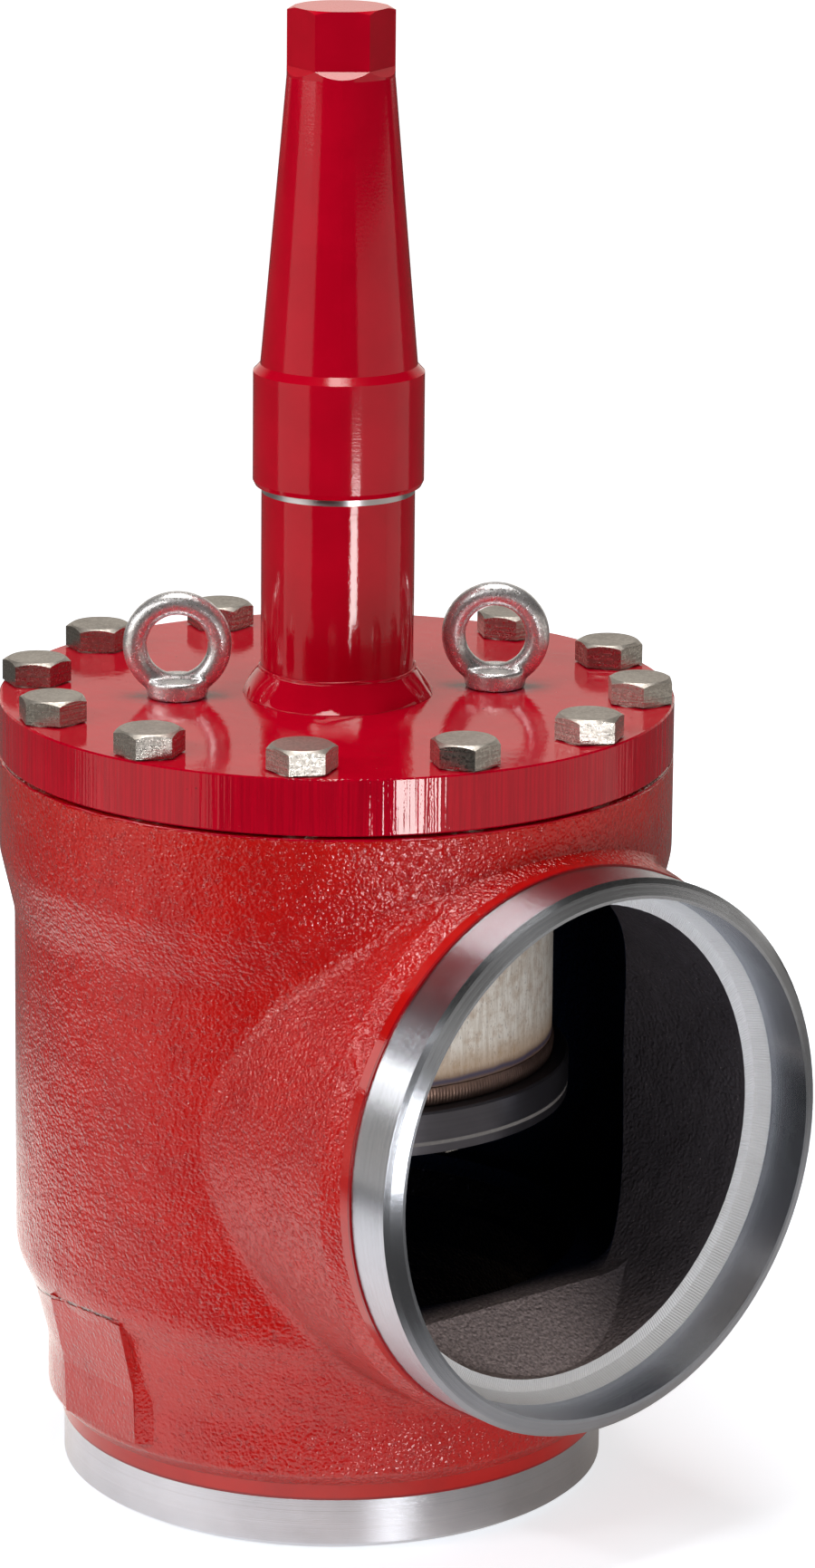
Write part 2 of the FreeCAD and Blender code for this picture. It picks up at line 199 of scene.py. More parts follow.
def newGroup(name, inputs, outputs):
    # inputs are (name, kind, default), outputs are (name, kind)
    group = bpy.data.node_groups.new(name, "ShaderNodeTree")
    for label, kind, start in inputs:
        socket = group.interface.new_socket(name=label, in_out="INPUT",
                                            socket_type="NodeSocket" + kind)
        if start is not None:
            socket.default_value = start
    for label, kind in outputs:
        group.interface.new_socket(name=label, in_out="OUTPUT", socket_type="NodeSocket" + kind)
    return group, group.nodes.new("NodeGroupInput"), group.nodes.new("NodeGroupOutput")


def useGroup(tree, group, **values):
    node = tree.nodes.new("ShaderNodeGroup")
    node.node_tree = group
    feedAll(tree, node, values)
    return node.outputs


def newMaterial(name):
    material = bpy.data.materials.new(name)
    material.use_nodes = True
    tree = material.node_tree
    coords = tree.nodes.new("ShaderNodeTexCoord").outputs["Object"]
    return material, tree, tree.nodes["Principled BSDF"], coords


def rgb(red, green, blue):
    # sRGB numbers from 0 to 255 as a linear colour
    linear = []
    for share in (red / 255, green / 255, blue / 255):
        linear.append(share / 12.92 if share <= 0.04045 else ((share + 0.055) / 1.055) ** 2.4)
    return (*linear, 1.0)


# Effects that several finishes share

def castSkinGroup():
    # sand-cast skin: round pimples, leathery folds, small pits and slow waves
    group, start, end = newGroup("castSkin", [("Place", "Vector", None), ("Grain", "Float", 420.0),
                                              ("Wave", "Float", 60.0)],
                                 [("Height", "Float"), ("Tone", "Float"), ("Pits", "Float")])
    place, grain, wave = (start.outputs[i] for i in range(3))
    folds = noise(group, place, grain, 1.5, 0.5, 0.5)
    fine = noise(group, place, times(group, grain, 2.6), 1.0, 0.5)
    knobs = fade(group, cells(group, place, times(group, grain, 1.15)), 0.05, 0.75, 1.0, 0.0)
    slow = noise(group, place, wave, 1.0, 0.4)
    pitNoise = noise(group, place, times(group, grain, 0.8), 2.0, 0.55)
    pits = fade(group, pitNoise, 0.3, 0.42, 1.0, 0.0)
    height = weighted(group, (folds, 0.75), (knobs, 0.4), (fine, 0.26), (slow, 1.3), (pits, -0.3))
    tone = noise(group, place, times(group, wave, 0.4), 3.0, 0.6)
    feedAll(group, end, {"Height": height, "Tone": tone, "Pits": pits})
    return group


def turnedMarksGroup():
    # lathe marks: noise of the distances along and from the axis only, so it runs round in rings
    group, start, end = newGroup("turnedMarks", [("Along", "Float", None), ("Radius", "Float", None),
                                                 ("Pitch", "Float", 2200.0), ("Place", "Vector", None)],
                                 [("Height", "Float"), ("Tone", "Float")])
    along, out, pitch, place = (start.outputs[i] for i in range(4))
    rings = joinPlace(group, along, out, 0.0)
    fine = noise(group, rings, pitch, 3.0, 0.65)
    coarse = noise(group, rings, times(group, pitch, 0.22), 2.0, 0.5)
    stains = noise(group, place, 45.0, 3.0, 0.6)
    feedAll(group, end, {"Height": weighted(group, (fine, 0.6), (coarse, 0.4)),
                         "Tone": weighted(group, (coarse, 0.5), (stains, 0.5))})
    return group


def paintFilmGroup():
    # enamel: slight mottling, and a few dust nibs that stand up
    group, start, end = newGroup("paintFilm", [("Place", "Vector", None), ("Paint", "Color", None),
                                               ("Shade", "Color", None), ("Nibs", "Float", 0.02)],
                                 [("Color", "Color"), ("Height", "Float")])
    place, paint, shade, nibs = (start.outputs[i] for i in range(4))
    mottle = fade(group, noise(group, place, 28.0, 4.0, 0.6), 0.35, 0.7)
    peel = noise(group, place, 900.0, 1.0, 0.4)
    dust = fade(group, cells(group, place, 150.0), 0.0, plus(group, nibs, 0.001), 1.0, 0.0)
    feedAll(group, end, {"Color": blendColor(group, mottle, paint, shade),
                         "Height": weighted(group, (peel, 0.3), (dust, 1.0))})
    return group


def forgedSkinGroup():
    # forged and plated steel: hammered waves, scale pits and cloudy plating
    group, start, end = newGroup("forgedSkin", [("Place", "Vector", None), ("Scale", "Float", 260.0)],
                                 [("Height", "Float"), ("Cloud", "Float")])
    place, scale = start.outputs[0], start.outputs[1]
    waved = noise(group, place, scale, 3.0, 0.55, 0.4)
    pits = fade(group, noise(group, place, times(group, scale, 3.4), 2.0, 0.6), 0.3, 0.48)
    cloud = fade(group, noise(group, place, times(group, scale, 1.7), 4.0, 0.65, 0.5), 0.35, 0.68)
    feedAll(group, end, {"Height": weighted(group, (waved, 0.7), (pits, 0.3)), "Cloud": cloud})
    return group


castSkin = castSkinGroup()
turnedMarks = turnedMarksGroup()
paintFilm = paintFilmGroup()
forgedSkin = forgedSkinGroup()
print("stage: shared effects ready")

# Colours that several finishes share
white = (1.0, 1.0, 1.0, 1.0)
warm = (1.0, 0.93, 0.83)
valveRed = {"paint": rgb(188, 3, 34), "shade": rgb(179, 2, 31),
            "smoothest": 0.42, "roughest": 0.52, "filmRelief": 0.00012}
bareSteel = {"bright": rgb(222, 227, 237), "dull": rgb(179, 184, 194), "roughness": 0.27,
             "cone": rgb(248, 247, 248), "coneShare": 0.7, "coneRoughness": 0.45, "coneMetal": 0.32}


def acrossMarks(tree, around):
    # the way along the surface that is square to lathe marks running the way around
    crossed = vectorCalc(tree, "CROSS_PRODUCT", faceNormal(tree), around)
    return vectorCalc(tree, "NORMALIZE", crossed)


def wearEnamel(tree, shader, color, marks, coatRoughness, surface):
    # enamel over steel: colour and gloss both come from the coat
    feedAll(tree, shader, {
        "Base Color": color,
        "Roughness": fade(tree, marks["Tone"], 0.3, 0.7, valveRed["smoothest"],
                          valveRed["roughest"]),
        "Specular IOR Level": 0.0,
        "Coat Weight": 1.0,
        "Coat Roughness": coatRoughness,
        "Normal": surface,
        "Coat Normal": surface})


# Finish of the casting: enamel outside, turned steel at both weld ends, dark raw skin inside
casting = {
    "bareInlet": 0.0272, "bareOutlet": 0.1826, "bandInlet": 0.0355, "bandOutlet": 0.1755,
    "coneInlet": 0.0332, "coneOutlet": 0.1778, "coneEnd": 0.186, "outletStart": 0.17,
    "outletHeight": 0.211, "insideBarrel": 0.147, "insidePipe": 0.1288, "chamberWall": 0.1463,
    "chamberFloor": 0.1, "pipeTop": 0.121, "edgeWobble": 0.0002, "edgeSoft": 0.0002,
    # the dark red darkens the thin strip where the paint ends, and is painted shade in the pits of the
    # cast skin
    "paint": rgb(190, 18, 15), "shade": rgb(178, 13, 15), "darkStripAndPitShade": rgb(128, 2, 20),
    "darkStripWidth": 0.0016, "stripShare": 0.75, "pitShadeShare": 0.3,
    "gloss": (1.0, 0.74, 0.46, 1.0), "glossRoughness": 0.32, "coatRoughness": 0.02,
    "grain": 400.0, "wave": 70.0, "relief": 0.00082,
    "quietHeight": 0.09, "quietFade": 0.07, "quietTurn": -76.0, "quietTurnFade": 22.0,
    "markPitch": 2600.0, "markRelief": 0.00012,
    "chatterCount": 560.0, "chatterRelief": 0.0001, "flatterEnd": 0.188, "flatterRelief": 0.0009,
    "rawDark": rgb(56, 53, 58), "rawLight": rgb(88, 84, 90), "rawRoughness": 0.5, "rawMetal": 0.3,
    # the pale colour here is painted light on up-facing floors inside and also the colour of pale
    # specks; the dark blue is painted shade in the chamber and inlet pipe
    "dust": rgb(190, 174, 174), "insideShade": rgb(15, 23, 42), "litFloorStart": 0.0, "litFloorEnd": 0.085,
    "sillStart": 0.118, "sillEnd": 0.138,
    "seatRadius": 0.1237, "seatBottom": 0.0985, "seatTop": 0.111, "seatSteel": rgb(70, 74, 86),
}
# Fold in the cast skin over the side flat: its height rises with the turn about the spindle; its dark
# colour along the fold is painted shade
crease = {"low": 0.0987, "high": 0.1119, "riseStart": -122.0, "riseEnd": -88.0,
          "start": -129.5, "end": -80.0, "endSoft": 1.5, "width": 0.0008, "ragged": 0.0012,
          "depth": 0.002, "color": rgb(48, 4, 10), "share": 0.85}


def creaseMask(tree, place, turn, z):
    # 1 along the fold, with ragged edges and thin places
    line = fade(tree, turn, crease["riseStart"], crease["riseEnd"], crease["low"], crease["high"])
    ragged = wander(tree, place, crease["ragged"] * 2, 210.0, 3.0, 0.6)
    off = calc(tree, "ABSOLUTE", minus(tree, plus(tree, z, ragged), line))
    seam = fade(tree, off, crease["width"] * 0.4, crease["width"] * 1.6, 1.0, 0.0)
    seam = times(tree, seam, fade(tree, noise(tree, place, 95.0, 2.0), 0.36, 0.5, 0.25, 1.0))
    return times(tree, seam, between(tree, turn, crease["start"], crease["end"], crease["endSoft"]))


def castingZones(tree, place):
    # masks for each finish of the casting, and the coordinates that they come from
    x, y, z = splitPlace(tree, place)
    zOut = minus(tree, z, casting["outletHeight"])
    fromStem = radius(tree, x, y)
    fromDuct = radius(tree, y, zOut)
    # inside: chamber and inlet pipe about z, duct about x
    chamber = times(tree, below(tree, fromStem, casting["insideBarrel"]),
                    above(tree, z, casting["chamberFloor"]))
    pipe = times(tree, below(tree, fromStem, casting["insidePipe"]),
                 below(tree, z, casting["pipeTop"]))
    duct = times(tree, below(tree, fromDuct, casting["insidePipe"]), above(tree, x, 0.0))
    inside = larger(tree, larger(tree, chamber, pipe), duct)
    # bare steel: to the paint's edge outside, to the end of the turned cone inside
    wobble = wander(tree, place, casting["edgeWobble"], 90.0, 3.0)
    zEdge = plus(tree, z, wobble)
    xEdge = plus(tree, x, wobble)
    bareOutside = larger(tree, below(tree, zEdge, casting["bareInlet"]),
                         above(tree, xEdge, casting["bareOutlet"]))
    bareInside = larger(tree, below(tree, z, casting["coneInlet"]),
                        above(tree, x, casting["coneOutlet"]))
    # the machined bands under the paint are smooth
    smooth = larger(tree, below(tree, z, casting["bandInlet"]),
                    above(tree, x, casting["bandOutlet"]))
    soft = casting["edgeSoft"]
    strip = larger(tree, between(tree, zEdge, casting["bareInlet"],
                                 casting["bareInlet"] + casting["darkStripWidth"], soft),
                   between(tree, xEdge, casting["bareOutlet"] - casting["darkStripWidth"],
                           casting["bareOutlet"], soft))
    return {
        "x": x, "y": y, "z": z, "zOut": zOut, "fromStem": fromStem, "fromDuct": fromDuct,
        "turn": times(tree, calc(tree, "ARCTAN2", y, x), 180.0 / math.pi),
        "duct": duct, "strip": strip, "rough": opposite(tree, smooth),
        "bare": blendValue(tree, inside, bareOutside, bareInside),
        "raw": times(tree, inside, opposite(tree, bareInside)),
        "painted": times(tree, opposite(tree, inside), opposite(tree, bareOutside)),
        "atOutlet": above(tree, x, casting["outletStart"]),
        "onCone": times(tree, duct, between(tree, x, casting["coneOutlet"], casting["coneEnd"], 0.0003)),
        "seat": times(tree, below(tree, fromStem, casting["seatRadius"]),
                      between(tree, z, casting["seatBottom"], casting["seatTop"], soft)),
    }


def enamelColor(tree, zones, skin, film, fold):
    # darker on the thin strip where the paint ends; painted shade in the pits and along the fold
    red = blendColor(tree, times(tree, zones["strip"], casting["stripShare"]),
                     film["Color"], casting["darkStripAndPitShade"])
    # painted shade in the pits of the cast skin
    inPits = times(tree, times(tree, skin["Pits"], zones["rough"]), casting["pitShadeShare"])
    red = blendColor(tree, inPits, red, casting["darkStripAndPitShade"])
    # painted shade along the fold
    return blendColor(tree, times(tree, fold, crease["share"]), red, crease["color"])


def rawIronColor(tree, place, zones, skin):
    # dark cast iron with pale specks; painted light on floors that face up, painted shade in the chamber
    # and inlet pipe, the seat's steel ring in it
    dark = blendColor(tree, skin["Tone"], casting["rawDark"], casting["rawLight"])
    facing = splitPlace(tree, faceNormal(tree))[2]
    upFacing = calc(tree, "POWER", fade(tree, facing, 0.2, 1.0), 1.6)
    # painted light: floors that face up are lighter, fading out towards +y
    dusty = times(tree, upFacing,
                  fade(tree, zones["y"], casting["litFloorStart"], casting["litFloorEnd"], 0.85, 0.05))
    grit = fade(tree, noise(tree, place, 620.0, 2.0, 0.6), 0.3, 0.7, 0.55, 1.25)
    dark = blendColor(tree, times(tree, dusty, grit), dark, casting["dust"])
    specks = fade(tree, cells(tree, place, 300.0), 0.09, 0.12, 1.0, 0.0)
    specks = times(tree, specks, fade(tree, noise(tree, place, 140.0), 0.52, 0.6))
    dark = blendColor(tree, times(tree, specks, 0.5), dark, casting["dust"])
    # painted shade: the chamber and inlet pipe turn dark blue, except where the floor faces up beyond
    # the sill
    sill = times(tree, fade(tree, facing, 0.2, 0.7),
                 fade(tree, zones["x"], casting["sillStart"], casting["sillEnd"]))
    sooty = times(tree, below(tree, zones["fromStem"], casting["chamberWall"]), opposite(tree, sill))
    dark = blendColor(tree, sooty, dark, casting["insideShade"])
    return blendColor(tree, zones["seat"], dark, casting["seatSteel"])


def castingRelief(tree, place, zones, skin, film, marks, fold):
    # the fold, the cast skin, lathe marks and chatter, then the paint's own film
    surface = bump(tree, times(tree, times(tree, fold, -1.0), zones["painted"]), crease["depth"])
    # low on the left the skin is quieter
    quiet = times(tree, fade(tree, zones["z"], casting["quietHeight"],
                             casting["quietHeight"] + casting["quietFade"], 0.6, 0.0),
                  fade(tree, zones["turn"], casting["quietTurn"],
                       casting["quietTurn"] + casting["quietTurnFade"], 1.0, 0.0))
    relief = times(tree, skin["Height"], times(tree, zones["rough"], opposite(tree, quiet)))
    surface = bump(tree, relief, casting["relief"], surface)
    surface = bump(tree, times(tree, marks["Height"], zones["bare"]), casting["markRelief"], surface)
    # chatter of the boring tool on the inner cone
    turnInDuct = calc(tree, "ARCTAN2", zones["y"], zones["zOut"])
    chatter = calc(tree, "SINE", weighted(tree, (turnInDuct, casting["chatterCount"]),
                                          (noise(tree, place, 70.0), 6.0)))
    surface = bump(tree, times(tree, chatter, zones["onCone"]), casting["chatterRelief"], surface)
    # the cone shines as one turned a few degrees flatter
    flatter = fade(tree, zones["x"], casting["coneOutlet"] - 0.001, casting["flatterEnd"], 1.0, 0.0)
    surface = bump(tree, times(tree, flatter, zones["duct"]), casting["flatterRelief"], surface)
    return bump(tree, times(tree, film["Height"], zones["painted"]), valveRed["filmRelief"], surface)


def castingFinish():
    material, tree, shader, place = newMaterial("castPaint")
    zones = castingZones(tree, place)
    bare, raw, onCone, atOutlet = (zones[name] for name in ("bare", "raw", "onCone", "atOutlet"))
    skin = useGroup(tree, castSkin, Place=place, Grain=casting["grain"], Wave=casting["wave"])
    film = useGroup(tree, paintFilm, Place=place, Paint=casting["paint"], Shade=casting["shade"],
                    Nibs=0.02)
    marks = useGroup(tree, turnedMarks, Along=blendValue(tree, atOutlet, zones["z"], zones["x"]),
                     Radius=blendValue(tree, atOutlet, zones["fromStem"], zones["fromDuct"]),
                     Pitch=casting["markPitch"], Place=place)
    fold = creaseMask(tree, place, zones["turn"], zones["z"])
    steel = blendColor(tree, marks["Tone"], bareSteel["dull"], bareSteel["bright"])
    steel = blendColor(tree, times(tree, onCone, bareSteel["coneShare"]), steel, bareSteel["cone"])
    color = blendColor(tree, bare, enamelColor(tree, zones, skin, film, fold), steel)
    color = blendColor(tree, raw, color, rawIronColor(tree, place, zones, skin))
    rawMetal = larger(tree, times(tree, raw, casting["rawMetal"]), times(tree, raw, zones["seat"]))
    cleanMetal = times(tree, bare, blendValue(tree, onCone, 1.0, bareSteel["coneMetal"]))
    steelRoughness = blendValue(tree, onCone, bareSteel["roughness"], bareSteel["coneRoughness"])
    roughness = blendValue(tree, bare, casting["glossRoughness"], steelRoughness)
    # lathe marks stretch the gloss across themselves: along the axis, or out from it on a face
    aroundStem = joinPlace(tree, times(tree, zones["y"], -1.0), zones["x"], 0.0)
    aroundDuct = joinPlace(tree, 0.0, times(tree, zones["zOut"], -1.0), zones["y"])
    surface = castingRelief(tree, place, zones, skin, film, marks, fold)
    feedAll(tree, shader, {
        "Base Color": color,
        "Metallic": larger(tree, cleanMetal, rawMetal),
        "Roughness": blendValue(tree, raw, roughness, casting["rawRoughness"]),
        "Specular IOR Level": 0.05,
        "Specular Tint": blendColor(tree, bare, casting["gloss"], white),
        "Anisotropic": 0.9,
        "Tangent": acrossMarks(tree, blendVector(tree, atOutlet, aroundStem, aroundDuct)),
        "Coat Weight": zones["painted"],
        "Coat Roughness": casting["coatRoughness"],
        "Coat IOR": 1.6,
        "Normal": surface,
        "Coat Normal": surface})
    return material


# Finish of the cover: turned top, side left with upright saw lines under the paint
cover = {"sideLines": 620.0, "broadLines": 140.0, "streaks": 760.0, "lineRelief": 0.00026,
         "lineShade": rgb(140, 2, 26), "top": 0.3985, "side": 0.1672,
         "topRelief": 0.00022, "coatRoughness": 0.02, "speck": rgb(84, 8, 16),
         "smudge": rgb(92, 84, 100), "smudgeInner": 0.014, "smudgeReach": 0.026,
         "eyes": [(0.04, 0.06928), (-0.04, -0.06928)]}


def coverFinish():
    material, tree, shader, place = newMaterial("coverPaint")
    x, y, z = splitPlace(tree, place)
    out = radius(tree, x, y)
    side = above(tree, out, cover["side"])
    film = useGroup(tree, paintFilm, Place=place, Paint=valveRed["paint"],
                    Shade=valveRed["shade"], Nibs=0.05)
    marks = useGroup(tree, turnedMarks, Along=0.0, Radius=out, Pitch=900.0, Place=place)
    upright = joinPlace(tree, x, y, times(tree, z, 0.02))
    lines = weighted(tree, (noise(tree, upright, cover["sideLines"], 1.0, 0.5), 0.6),
                     (noise(tree, upright, cover["broadLines"], 1.0, 0.5), 1.8))
    # grey-blue smudges beside the two eyes
    smudge = 0.0
    for eyeX, eyeY in cover["eyes"]:
        near = vectorCalc(tree, "DISTANCE", place, (eyeX, eyeY, cover["top"]))
        spot = times(tree, fade(tree, near, cover["smudgeInner"], cover["smudgeReach"], 1.0, 0.0),
                     fade(tree, noise(tree, place, 130.0, 3.0, 0.6), 0.4, 0.62))
        smudge = larger(tree, smudge, spot)
    specks = fade(tree, cells(tree, place, 95.0), 0.05, 0.075, 1.0, 0.0)
    rareSpecks = times(tree, specks, fade(tree, noise(tree, place, 40.0), 0.55, 0.62))
    color = blendColor(tree, times(tree, smudge, 0.5), film["Color"], cover["smudge"])
    color = blendColor(tree, times(tree, rareSpecks, 0.7), color, cover["speck"])
    streakNoise = noise(tree, upright, cover["streaks"], 2.0, 0.6)
    streaks = times(tree, fade(tree, streakNoise, 0.35, 0.65, 0.5, 0.0), side)
    color = blendColor(tree, streaks, color, cover["lineShade"])
    surface = bump(tree, times(tree, lines, side), cover["lineRelief"])
    ripple = weighted(tree, (marks["Height"], 0.12), (noise(tree, place, 160.0, 2.0), 0.5))
    surface = bump(tree, times(tree, ripple, opposite(tree, side)), cover["topRelief"], surface)
    surface = bump(tree, film["Height"], valveRed["filmRelief"], surface)
    wearEnamel(tree, shader, color, marks, cover["coatRoughness"], surface)
    return material


def smoothPaint(name, relief, nibs, coatRoughness):
    # sprayed enamel over turned or drawn steel
    material, tree, shader, place = newMaterial(name)
    x, y, z = splitPlace(tree, place)
    film = useGroup(tree, paintFilm, Place=place, Paint=valveRed["paint"],
                    Shade=valveRed["shade"], Nibs=nibs)
    marks = useGroup(tree, turnedMarks, Along=z, Radius=radius(tree, x, y), Pitch=700.0, Place=place)
    surface = bump(tree, marks["Height"], 0.00002)
    surface = bump(tree, film["Height"], relief, surface)
    wearEnamel(tree, shader, film["Color"], marks, coatRoughness, surface)
    return material


def turnedFinish(name, bright, dull, roughness, metallic=1.0):
    # bare turned steel about the spindle's axis
    material, tree, shader, place = newMaterial(name)
    x, y, z = splitPlace(tree, place)
    marks = useGroup(tree, turnedMarks, Along=z, Radius=radius(tree, x, y), Pitch=2200.0, Place=place)
    feedAll(tree, shader, {
        "Base Color": blendColor(tree, marks["Tone"], dull, bright),
        "Roughness": fade(tree, marks["Tone"], 0.3, 0.7, roughness - 0.05, roughness + 0.08),
        "Metallic": metallic,
        "Anisotropic": 0.7,
        "Tangent": acrossMarks(tree, joinPlace(tree, times(tree, y, -1.0), x, 0.0)),
        "Normal": bump(tree, marks["Height"], 0.00005)})
    return material


# Cover bolts: trimmed forged heads, fine level grooves on the flats
boltLook = {"bright": rgb(214, 210, 204), "dull": rgb(138, 131, 126), "grooves": 700.0,
            "grooveRelief": 0.0003, "skinScale": 330.0, "skinRelief": 0.00012,
            "roughness": 0.26, "topRoughness": 0.16}


def boltFinish(name, look):
    material, tree, shader, place = newMaterial(name)
    x, y, z = splitPlace(tree, place)
    level = joinPlace(tree, times(tree, x, 0.06), times(tree, y, 0.06), z)
    grooves = noise(tree, level, look["grooves"], 3.0, 0.65)
    skin = useGroup(tree, forgedSkin, Place=place, Scale=look["skinScale"])
    tone = weighted(tree, (grooves, 0.7), (skin["Cloud"], 0.3))
    facing = calc(tree, "ABSOLUTE", splitPlace(tree, faceNormal(tree))[2])
    flats = fade(tree, facing, 0.5, 0.9, 1.0, 0.0)
    matt = times(tree, opposite(tree, flats), look["topRoughness"])
    polish = fade(tree, tone, 0.2, 0.8, look["roughness"] + 0.1, look["roughness"] - 0.06)
    surface = bump(tree, times(tree, grooves, flats), look["grooveRelief"])
    feedAll(tree, shader, {
        "Base Color": blendColor(tree, tone, look["dull"], look["bright"]),
        "Roughness": plus(tree, polish, matt),
        "Metallic": 1.0,
        "Normal": bump(tree, skin["Height"], look["skinRelief"], surface)})
    return material


# Lifting eyes: bright mottled zinc on a forging
eyeLook = {"bright": rgb(250, 251, 254), "dull": rgb(206, 206, 210), "roughness": 0.24,
           "dullRoughness": 0.36, "metallic": 0.85, "skinScale": 300.0, "relief": 0.00016}


def eyeFinish():
    material, tree, shader, place = newMaterial("forgedZinc")
    skin = useGroup(tree, forgedSkin, Place=place, Scale=eyeLook["skinScale"])
    feedAll(tree, shader, {
        "Base Color": blendColor(tree, skin["Cloud"], eyeLook["dull"], eyeLook["bright"]),
        "Roughness": fade(tree, skin["Cloud"], 0.0, 1.0, eyeLook["dullRoughness"], eyeLook["roughness"]),
        "Metallic": eyeLook["metallic"],
        "Normal": bump(tree, skin["Height"], eyeLook["relief"])})
    return material


# Plug sleeve: pickled stainless with upright grain, tinted by the weld at its foot
sleeve = {"steel": rgb(250, 244, 236), "steelDark": rgb(226, 216, 204), "foot": 0.225,
          "straw": rgb(176, 136, 92), "brown": rgb(98, 70, 58), "blue": rgb(78, 72, 96),
          "tintWander": 0.002, "metallic": 0.25, "relief": 0.0001}


def sleeveFinish():
    material, tree, shader, place = newMaterial("sleeveSteel")
    x, y, z = splitPlace(tree, place)
    grain = noise(tree, joinPlace(tree, x, y, times(tree, z, 0.12)), 420.0, 3.0, 0.65)
    pores = noise(tree, joinPlace(tree, x, y, times(tree, z, 0.45)), 900.0, 2.0, 0.6)
    steel = blendColor(tree, fade(tree, grain, 0.35, 0.65), sleeve["steelDark"], sleeve["steel"])
    steel = blendColor(tree, fade(tree, pores, 0.3, 0.42, 0.35, 0.0), steel, sleeve["brown"])
    mottle = fade(tree, noise(tree, place, 150.0, 4.0, 0.7), 0.42, 0.7, 0.0, 0.4)
    steel = blendColor(tree, mottle, steel, sleeve["straw"])
    # heat tint above the foot: straw highest, then brown, with a thin blue line
    wave = wander(tree, place, sleeve["tintWander"], 60.0, 2.0)
    up = minus(tree, plus(tree, z, wave), sleeve["foot"])
    color = blendColor(tree, fade(tree, up, 0.004, 0.022, 0.65, 0.0), steel, sleeve["straw"])
    color = blendColor(tree, fade(tree, up, 0.0015, 0.0075, 0.85, 0.0), color, sleeve["brown"])
    color = blendColor(tree, between(tree, up, 0.0012, 0.0032, 0.0012), color, sleeve["blue"])
    feedAll(tree, shader, {
        "Base Color": color,
        "Roughness": fade(tree, grain, 0.3, 0.7, 0.42, 0.55),
        "Metallic": sleeve["metallic"],
        "Normal": bump(tree, weighted(tree, (grain, 1.0), (pores, 0.5)), sleeve["relief"])})
    return material


# Weld at the sleeve's foot: brown heat tint, with painted shade darkening its lower toe where it meets
# the disc
weldTint = {"light": rgb(140, 112, 100), "dark": rgb(100, 82, 78), "burnt": rgb(34, 28, 28),
            "toeShadeLow": 0.2155, "toeShadeHigh": 0.2215, "relief": 0.0003}


def sleeveWeldFinish():
    material, tree, shader, place = newMaterial("weldTint")
    height = splitPlace(tree, place)[2]
    tone = noise(tree, place, 240.0, 3.0, 0.6)
    # painted shade: the lower toe darkens where the weld meets the disc
    burnt = fade(tree, height, weldTint["toeShadeLow"], weldTint["toeShadeHigh"], 1.0, 0.0)
    color = blendColor(tree, tone, weldTint["light"], weldTint["dark"])
    feedAll(tree, shader, {
        "Base Color": blendColor(tree, times(tree, burnt, 0.8), color, weldTint["burnt"]),
        "Roughness": fade(tree, tone, 0.3, 0.7, 0.32, 0.48),
        "Metallic": 0.85,
        "Normal": bump(tree, tone, weldTint["relief"])})
    return material


def softFinish(name, dark, light, roughness, scale):
    # pressed fibre, graphite or plastic: speckled, matt
    material, tree, shader, place = newMaterial(name)
    speckle = noise(tree, place, scale, 4.0, 0.7)
    feedAll(tree, shader, {
        "Base Color": blendColor(tree, speckle, dark, light),
        "Roughness": fade(tree, speckle, 0.3, 0.7, roughness - 0.08, roughness + 0.08),
        "Normal": bump(tree, speckle, 0.0001)})
    return material


finishes = {
    "casting": castingFinish(),
    "cover": coverFinish(),
    "neck": smoothPaint("neckPaint", 0.0001, 0.03, 0.06),
    "weld": smoothPaint("weldPaint", 0.00008, 0.05, 0.03),
    "cap": smoothPaint("capPaint", 0.00009, 0.02, 0.1),
    "bolts": boltFinish("boltSteel", boltLook),
    "smallBolts": boltFinish("smallBolt", {**boltLook, "grooves": 1600.0}),
    "eyes": eyeFinish(),
    "head": turnedFinish("turnedSteel", rgb(236, 238, 244), rgb(206, 207, 212), 0.34),
    "capSeal": turnedFinish("sealMetal", rgb(214, 204, 194), rgb(176, 164, 154), 0.22),
    "disc": turnedFinish("discSteel", rgb(124, 122, 130), rgb(84, 82, 88), 0.36, 0.9),
    "spindle": turnedFinish("spindleSteel", rgb(206, 204, 200), rgb(170, 167, 164), 0.22),
    "sleeve": sleeveFinish(),
    "sleeveWeld": sleeveWeldFinish(),
    "gasket": softFinish("gasketFibre", rgb(30, 30, 32), rgb(58, 56, 56), 0.75, 700.0),
    "packing": softFinish("packingGraphite", rgb(28, 28, 30), rgb(50, 50, 52), 0.5, 900.0),
    "plugSeal": softFinish("sealPlastic", rgb(104, 100, 100), rgb(134, 130, 128), 0.45, 500.0),
}

wears = {"body": "casting", "cover": "cover", "cover_gasket": "gasket", "neck_tube": "neck",
         "neck_weld": "weld", "neck_head": "head", "gland_nut": "head", "packing_ring": "packing",
         "cap": "cap", "cap_seal": "capSeal", "spindle": "spindle", "plug_disc": "disc",
         "plug_hub": "disc", "plug_retainer": "disc", "plug_seal": "plugSeal",
         "plug_sleeve": "sleeve", "sleeve_weld": "sleeveWeld",
         "lifting_eye_right": "eyes", "lifting_eye_left": "eyes"}


def dress(piece, finish):
    if len(piece.material_slots) == 0:
        piece.data.materials.append(finishes[finish])
    for holder in piece.material_slots:
        holder.material = finishes[finish]


for name, piece in parts.items():
    if name.startswith("cover_bolt"):
        dress(piece, "bolts")
    elif name.startswith("retainer_bolt"):
        dress(piece, "smallBolts")
    else:
        dress(piece, wears[name])
print("stage: finishes on", len(parts), "carried pieces")


# New surfaces

def turnsOf(rows):
    # evenly spaced turns about the spindle, as a column
    return np.linspace(0, 2 * np.pi, rows, endpoint=False)[:, None]


